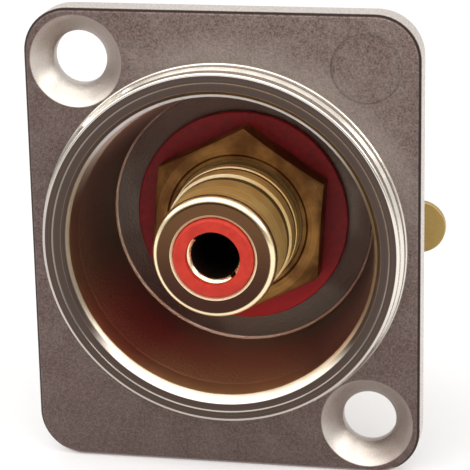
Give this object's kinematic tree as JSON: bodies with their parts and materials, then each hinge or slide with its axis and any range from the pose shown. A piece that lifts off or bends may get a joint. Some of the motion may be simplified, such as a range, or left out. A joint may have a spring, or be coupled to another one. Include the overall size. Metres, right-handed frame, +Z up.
{
  "type": "rca panel socket",
  "caption": "Phono panel socket: gilt coaxial jack with a slit centre contact, set in the round cup of a nickel-finish square-flanged housing, with a ground lug and nut behind.",
  "frame": {"origin": "on the socket's axis, midway between the two screw holes, in the plane of the flange's rear face", "axes": "-Y out of the front of the socket, +Y through the panel, +Z up along the flange's long side, +X to the right as seen from the front"},
  "size_m": [0.0265, 0.0233, 0.031],
  "materials": {
    "satin_nickel": "satin die-cast, fine grain",
    "red_insulator": "moulded, semi-matt",
    "red_core": "turned, semi-gloss",
    "gilt_brass": "turned and gilt, polished",
    "gilt_contact": "turned and gilt",
    "gilt_tag": "stamped and gilt, satin",
    "plain_nickel": "stamped, bright"
  },
  "bodies": {
    "root": {"housing": "satin_nickel", "front_washer": "red_insulator", "rear_bush": "red_insulator", "jack_body": "gilt_brass", "front_insulator": "red_core", "rear_insulator": "red_core", "centre_contact": "gilt_contact", "ground_lug": "gilt_tag", "lock_washer": "plain_nickel", "rear_nut": "gilt_brass"}
  },
  "joints": []
}
